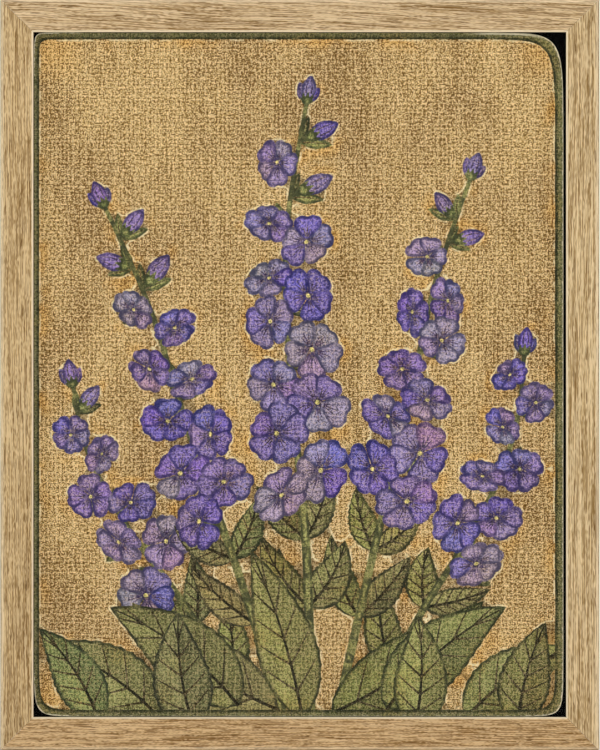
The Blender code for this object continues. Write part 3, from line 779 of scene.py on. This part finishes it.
    # Attributes: the ink and its cover, and the distances to the shape's outline and to the sheet's edge
    spare = len(mesh.loops) - faces.size
    ink_all = np.vstack([ink.reshape(-1, 4), np.tile((*SHEET_BACK[:3], 0.0), (spare, 1))])
    marks = np.stack([edge, rim_gap, line], axis=-1).reshape(-1, 3)
    marks_all = np.vstack([marks, np.tile((FAR, -1.0, 0.0), (spare, 1))])
    inks = mesh.attributes.new("ink", "FLOAT_COLOR", "CORNER")
    inks.data.foreach_set("color", ink_all.astype(np.float32).ravel())
    distances = mesh.attributes.new("marks", "FLOAT_VECTOR", "CORNER")
    distances.data.foreach_set("vector", marks_all.astype(np.float32).ravel())
    layer = mesh.uv_layers.new(name="OFBake")
    places = np.array([mesh.vertices[loop.vertex_index].co for loop in mesh.loops])
    across = (places[:, 0] - low.x) / (high.x - low.x)
    up = (places[:, 2] - low.z) / (high.z - low.z)
    size = 1 - 2 * UV_MARGIN
    flat_places = np.column_stack([UV_MARGIN + size * across * (half_w / half_h), UV_MARGIN + size * up])
    layer.data.foreach_set("uv", flat_places.astype(np.float32).ravel())
    print("print_sheet", len(mesh.polygons), "faces,", len(shapes), "shapes")
    return piece


WEAVE_PITCH = 2.08
GROUND_MID = linear(197, 161, 102)
GROUND_BROWN = linear(170, 135, 86)
GROUND_GAP = linear(98, 64, 8)
GROUND_THREAD = linear(239, 208, 159)
AMBER = linear(206, 150, 70)
AMBER_GAP = linear(118, 76, 28)
AMBER_THREAD = linear(234, 186, 106)
UNPRINTED = linear(246, 230, 186)
WORN = linear(150, 144, 108)
CUT_PAPER = linear(244, 232, 202)
SHADED_CUT = linear(44, 44, 30)
GLOW_FAR = 26
GLOW_NEAR = 6


def print_material():
    """Ink on a woven ground: threads with dark gaps, mottles, ragged outlines, halos and speckled cover."""
    t = Tree("printed_sheet")
    x, y, z = t.millimetres()
    ink_node = t.node("Attribute", attribute_name="ink")
    ink, cover = ink_node.outputs["Color"], ink_node.outputs["Alpha"]
    marks = t.node("Attribute", attribute_name="marks").outputs["Vector"]
    edge, rim, line = t.node("SeparateXYZ", {0: marks}).outputs

    # The woven ground: gap and thread are the dark and the light ends of one relief
    sway_x = t.times(t.stretched(x, z, y, 0.05, 0.16, 0.0, 2.0, detail=2.0), 1.6)
    sway_z = t.times(t.stretched(x, z, y, 0.16, 0.05, 0.0, 7.0, detail=2.0), 1.6)
    warp = t.math("SINE", t.times(t.add(x, sway_x), 2 * math.pi / WEAVE_PITCH))
    weft = t.math("SINE", t.times(t.add(z, sway_z), 2 * math.pi / WEAVE_PITCH))
    dash_up = t.stretched(x, z, y, 1.35, 0.42, 0.0, 3.0, detail=1.0)
    dash_along = t.stretched(x, z, y, 0.55, 1.45, 0.0, 9.0, detail=1.0)
    grain = t.stretched(x, z, y, 1.6, 1.6, 0.0, 14.0, detail=0.0)
    knots = t.specks(t.vector(t.add(x, sway_x), t.add(z, sway_z)), 1 / WEAVE_PITCH, 0.7)
    slub = t.step(t.stretched(x, z, y, 0.8, 0.05, 0.0, 57.0, detail=1.0), 0.56, 0.68)
    mottle = t.stretched(x, z, y, 0.022, 0.014, 0.0, 31.0, detail=3.0, rough=0.6)
    streaks = t.stretched(x, z, y, 0.20, 0.03, 0.0, 37.0, detail=2.0, rough=0.6)
    weave = t.add(t.times(warp, 0.035), t.times(weft, 0.04), t.times(dash_up, 0.45),
                  t.times(dash_along, 0.38), t.times(grain, 1.25), t.times(knots, -0.40),
                  t.times(slub, 0.08), t.times(mottle, 0.20), t.times(streaks, 0.25))
    gap = t.step(weave, 1.11, 1.305)
    thread = t.step(weave, 1.135, 0.92)
    ground = t.mix(t.step(mottle, 0.40, 0.66), GROUND_MID, GROUND_BROWN)
    ground = t.mix(t.times(gap, 0.92), ground, GROUND_GAP)
    ground = t.mix(t.times(thread, 0.72), ground, GROUND_THREAD)
    dust = t.grey(t.step(t.stretched(x, z, y, 1.35, 1.35, 0.0, 83.0, detail=0.0), 0.34, 0.66, 0.78, 1.22))
    ground = t.mix(1.0, ground, dust, "MULTIPLY")

    # Amber warmth beside the shapes and in patches near the border
    patches = t.step(t.stretched(x, z, y, 0.05, 0.05, 0.0, 41.0, detail=2.0), 0.48, 0.68)
    off_x = t.math("ABSOLUTE", t.add(x, -CENTRE.x / MM))
    off_z = t.math("ABSOLUTE", t.add(z, -CENTRE.z / MM))
    cornered = t.times(t.step(off_x, SHEET_HALF_W - GLOW_FAR, SHEET_HALF_W - GLOW_NEAR),
                       t.step(off_z, SHEET_HALF_H - GLOW_FAR, SHEET_HALF_H - GLOW_NEAR))
    glow = t.times(t.math("SQRT", cornered), t.step(mottle, 0.35, 0.62, 0.7, 1.0))
    amber = t.math("MAXIMUM", t.times(t.step(edge, 8.5, 0.5), patches), glow)
    amber_ground = t.mix(gap, t.mix(thread, AMBER, AMBER_THREAD), AMBER_GAP)
    ground = t.mix(t.times(amber, 0.7), ground, amber_ground)

    # Ragged distances, for outline and halo
    fray = t.times(t.add(t.stretched(x, z, y, 0.8, 0.8, 0.0, 17.0, detail=2.0), -0.5), 1.5)
    frayed = t.add(edge, fray)
    broken = t.step(t.stretched(x, z, y, 0.12, 0.12, 0.0, 23.0, detail=1.0), 0.46, 0.60)
    halo = t.times(t.times(t.step(frayed, 0.05, 0.35), t.step(frayed, 1.0, 0.55)), broken)
    ground = t.mix(t.times(halo, 0.75), ground, UNPRINTED)

    # Ink, paler and darker by speckle and pooling, with the weave showing through
    speckle = t.stretched(x, z, y, 0.75, 0.75, 0.0, 27.0, detail=2.0, rough=0.65)
    pool = t.stretched(x, z, y, 0.09, 0.09, 0.0, 51.0, detail=2.0)
    tone = t.add(t.step(speckle, 0.35, 0.65, 0.24, -0.24), t.times(gap, -0.50), t.times(thread, 0.42),
                 t.step(pool, 0.3, 0.7, -0.18, 0.18), 1.02)
    printed = t.mix(1.0, ink, t.grey(tone), "MULTIPLY")
    thin = t.step(t.add(t.times(speckle, 0.7), t.times(thread, 0.20)), 0.38, 0.66)
    solid = t.times(cover, t.step(thin, 0.0, 1.0, 1.0, 0.66))
    colour = t.mix(solid, ground, printed)

    # Dark outlines inside each shape's edge
    inked = t.step(edge, 0.02, -0.02)
    pressed = t.step(t.stretched(x, z, y, 0.16, 0.16, 0.0, 63.0, detail=2.0), 0.3, 0.6, 0.45, 0.95)
    outline = t.times(t.times(t.times(t.step(frayed, -2.0, -0.7), inked), line), pressed)
    deep = t.mix(1.0, ink, (0.16, 0.17, 0.24, 1.0), "MULTIPLY")
    colour = t.mix(outline, colour, deep)

    # The border's outside is greyer. The sheet's cut edge is bare paper on its right, low and corner stretches,
    # and painted shade elsewhere.
    in_border = t.step(rim, 5.2, 4.6)
    worn = t.times(t.times(t.step(rim, 2.8, 0.3), in_border), t.step(speckle, 0.44, 0.62))
    colour = t.mix(t.times(worn, 0.6), colour, WORN)
    chips = t.add(t.stretched(x, z, y, 0.45, 0.45, 0.0, 71.0, detail=2.0), t.times(cornered, 0.12))
    chipped = t.step(chips, 0.51, 0.60)
    right = CENTRE.x / MM + SHEET_HALF_W
    top, bottom = CENTRE.z / MM + SHEET_HALF_H, CENTRE.z / MM - SHEET_HALF_H
    right_side = t.step(x, right - 8, right - 4)
    low_side = t.step(z, bottom + 8, bottom + 4, 0.0, 0.5)
    open_side = t.math("MAXIMUM", t.math("MAXIMUM", right_side, low_side), t.step(cornered, 0.0, 0.25))
    chip_edge = t.times(t.times(t.step(t.add(rim, t.times(fray, 0.6)), 0.42, 0.16), chipped), open_side)
    colour = t.mix(chip_edge, colour, CUT_PAPER)
    bare_x = t.times(t.step(x, right - 50, right - 36), t.step(x, right - 8, right - 22))
    bare_z = t.step(z, top - 8, top - 4)
    bare = t.times(t.times(bare_x, bare_z), t.step(t.add(rim, t.times(fray, 0.4)), 1.1, 0.8))
    colour = t.mix(t.times(bare, 0.9), colour, CUT_PAPER)
    # Painted shade on the cut edge where the lip covers it
    cut = t.mix(open_side, SHADED_CUT, CUT_PAPER)
    colour = t.mix(t.step(rim, -0.05, -0.5), colour, cut)

    height = t.add(t.times(weave, -0.5), t.times(speckle, 0.2))
    return t.principled(
        Base_Color=colour, Roughness=t.step(weave, 0.9, 1.4, 0.62, 0.85),
        Normal=t.bump(height, 0.05 * MM, 0.35), Specular_IOR_Level=0.15,
    )


# Putting it together

def smooth(node, angle=math.radians(35)):
    """Rounded edges shade as rounded, and corners stay crisp."""
    mesh = NODES[node].data
    if mesh.attributes.get("custom_normal"):
        mesh.attributes.remove(mesh.attributes["custom_normal"])
    mesh.shade_smooth()
    mesh.set_sharp_from_angle(angle=angle)


def dress(finishes):
    for name, node in NODES.items():
        slots = node.data.materials
        slots.clear()
        slots.append(finishes(name))


def area_light(name, at, towards, size, glossy=True):
    """A square softbox, size metres wide. One that isn't glossy lights surfaces but is mirrored in none."""
    data = bpy.data.lights.new(name, "AREA")
    data.shape = "SQUARE"
    data.size = size
    data.energy = WATTS[name]
    lamp = bpy.data.objects.new(name, data)
    lamp.location = at
    lamp.rotation_euler = (Vector(towards) - Vector(at)).to_track_quat("-Z", "Y").to_euler()
    lamp.visible_camera = False
    lamp.visible_glossy = glossy
    bpy.context.scene.collection.objects.link(lamp)


def studio():
    scene = bpy.context.scene
    scene.view_settings.view_transform = "Standard"

    world = bpy.data.worlds.new("studio")
    world.use_nodes = True
    tree = world.node_tree
    tree.nodes.clear()
    seen = tree.nodes.new("ShaderNodeBackground")
    seen.inputs["Color"].default_value = linear(*BACKDROP)
    lit = tree.nodes.new("ShaderNodeBackground")
    lit.inputs["Color"].default_value = (1, 1, 1, 1)
    lit.inputs["Strength"].default_value = AMBIENT
    rays = tree.nodes.new("ShaderNodeLightPath")
    both = tree.nodes.new("ShaderNodeMixShader")
    out = tree.nodes.new("ShaderNodeOutputWorld")
    tree.links.new(rays.outputs["Is Camera Ray"], both.inputs[0])
    tree.links.new(lit.outputs[0], both.inputs[1])
    tree.links.new(seen.outputs[0], both.inputs[2])
    tree.links.new(both.outputs[0], out.inputs["Surface"])
    scene.world = world

    mid = CENTRE
    area_light("front", (mid.x, -2.6, mid.z + 0.25), mid, 1.6, glossy=False)
    area_light("left", (-1.7, -1.5, mid.z + 0.9), mid, 1.0)
    area_light("right", (1.8, -1.2, mid.z + 0.7), mid, 1.0)
    area_light("behind", (0.9, 2.0, mid.z + 1.0), mid, 1.4)
    area_light("behind_left", (-1.6, 1.4, mid.z + 0.4), mid, 1.0)

    mesh = bpy.data.meshes.new("floor")
    half = FLOOR_SIZE / 2
    corners = [(-half, -half, 0), (half, -half, 0), (half, half, 0), (-half, half, 0)]
    mesh.from_pydata(corners, [], [(0, 1, 2, 3)])
    floor = bpy.data.objects.new("floor", mesh)
    floor.location = (CENTRE.x, CENTRE.y, FRAME_LOW.z - 0.1 * MM)
    t = Tree("floor")
    x, y, z = t.millimetres()
    faint = t.stretched(x, y, z, 0.004, 0.004, 0.004, detail=2.0)
    colour = t.mix(t.step(faint, 0.3, 0.7), linear(*FLOOR_COLOUR), linear(*(c + 4 for c in FLOOR_COLOUR)))
    near = t.node("BsdfPrincipled", {"Base Color": colour, "Roughness": 0.85}).outputs[0]
    far = t.node("Emission", {"Color": linear(*BACKDROP)}).outputs[0]
    away = t.math("SQRT", t.add(t.times(x, x), t.times(y, y)))
    fade = t.step(away, *FLOOR_FADE)
    mesh.materials.append(t.surface(t.node("MixShader", {0: fade, 1: near, 2: far}).outputs[0]))
    scene.collection.objects.link(floor)


def camera():
    data = bpy.data.cameras.new("camera")
    data.sensor_width = SENSOR
    data.lens = SENSOR * CAMERA_DISTANCE / (IMAGE_H * MM_A_PIXEL * MM)
    data.clip_end = 50
    eye = bpy.data.objects.new("camera", data)
    eye.location = (CENTRE.x + CAMERA_SHIFT_X, FRAME_LOW.y - CAMERA_DISTANCE, CENTRE.z + CAMERA_SHIFT_Z)
    eye.rotation_euler = (math.pi / 2, 0, 0)
    bpy.context.scene.collection.objects.link(eye)
    bpy.context.scene.camera = eye


oaks = {
    "rail_left": oak("oak_left", True, (238, 234, 223), 0.004, 2.0, 0.9, 10.0),
    "rail_right": oak("oak_right", True, (246, 246, 242), -0.003, 2.6, 0.7, 40.0),
    "rail_top": oak("oak_top", False, (238, 235, 234), 0.045, 6.0, 0.9, 70.0),
    "rail_bottom": oak("oak_bottom", False, (239, 229, 216), 0.006, 4.0, 1.3, 100.0),
}
zinc = steel("zinc_plate", (206, 208, 212), (186, 184, 176), 0.34, 2.6)
finishes_by_start = {
    "corner_nail": steel("corner_steel", (178, 178, 180), (150, 146, 138), 0.42, 1.8),
    "glazing": picture_glass(),
    "picture_sheet": board("sheet_back", (214, 200, 160), (190, 172, 130), 0.5, 0.85),
    "picture_board": board("pale_board", (246, 236, 208), (222, 208, 174), 0.5, 0.85),
    "mount_board": board("black_board", (3, 2, 2), (7, 6, 6), 0.5, 0.9, specular=0.02),
    "spacer": plastic("black_plastic"),
    "backing_board": hardboard(),
    "turn_button": zinc,
    "button_screw": zinc,
    "hanger": zinc,
    "bumper": soft_bumper(),
}


def finish_of(name):
    if name in oaks:
        return oaks[name]
    return next(material for start, material in finishes_by_start.items() if name.startswith(start))


dress(finish_of)
for cad_node in NODES:
    smooth(cad_node)

sheet = make_print()
sheet.data.materials.append(print_material())
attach(sheet, "root")
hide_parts("picture_sheet")

studio()
camera()
